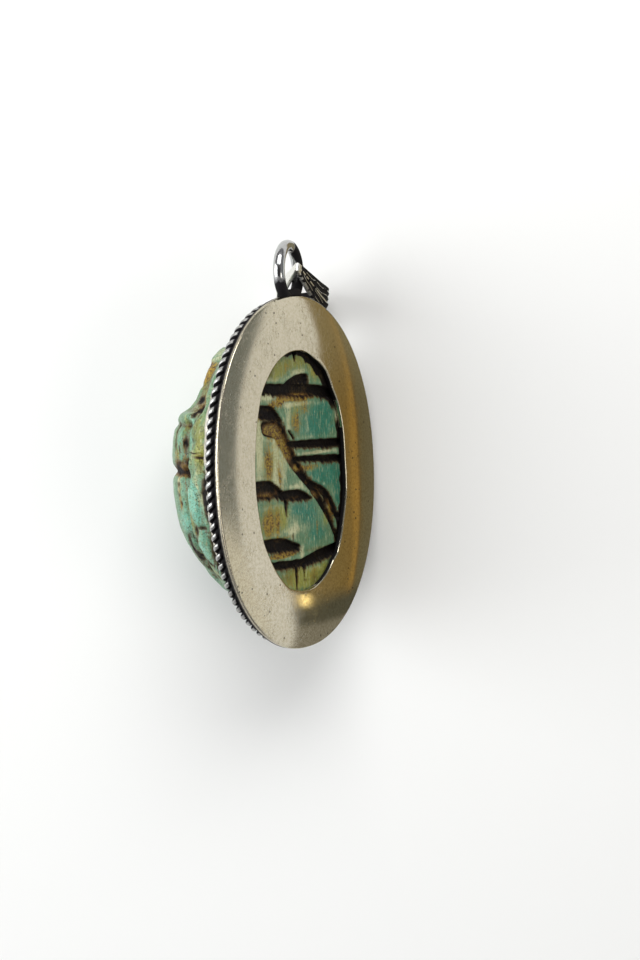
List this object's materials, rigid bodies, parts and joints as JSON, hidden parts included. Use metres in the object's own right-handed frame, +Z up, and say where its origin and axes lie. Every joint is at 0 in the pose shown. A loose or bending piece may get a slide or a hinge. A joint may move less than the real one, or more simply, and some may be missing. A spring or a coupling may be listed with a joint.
{
  "type": "scarab amulet pendant",
  "caption": "Glazed carved scarab in an oval silver pendant mount with a windowed back plate, bezel, twisted-wire border, ring and leaf bail.",
  "frame": {"origin": "centre of the bounding box, on the surface the pendant lies on", "axes": "+Y along the pendant towards its ring, +Z up, +X towards the side that the back plate faces"},
  "size_m": [0.02, 0.0404, 0.0215],
  "materials": {
    "glazed_scarab": "worn turquoise-green glaze with ochre patches and brown-black recesses",
    "plate_silver": "old polished silver with fine scratches",
    "dark_silver": "silver darkened in the hollows, bright on the crests",
    "ring_silver": "bright round silver wire",
    "bail_silver": "blackened silver with bright raised veins"
  },
  "bodies": {
    "root": {"scarab": "glazed_scarab", "back_plate": "plate_silver", "bezel": "dark_silver", "rope_border": "dark_silver", "ring": "ring_silver", "bail": "bail_silver"}
  },
  "joints": []
}
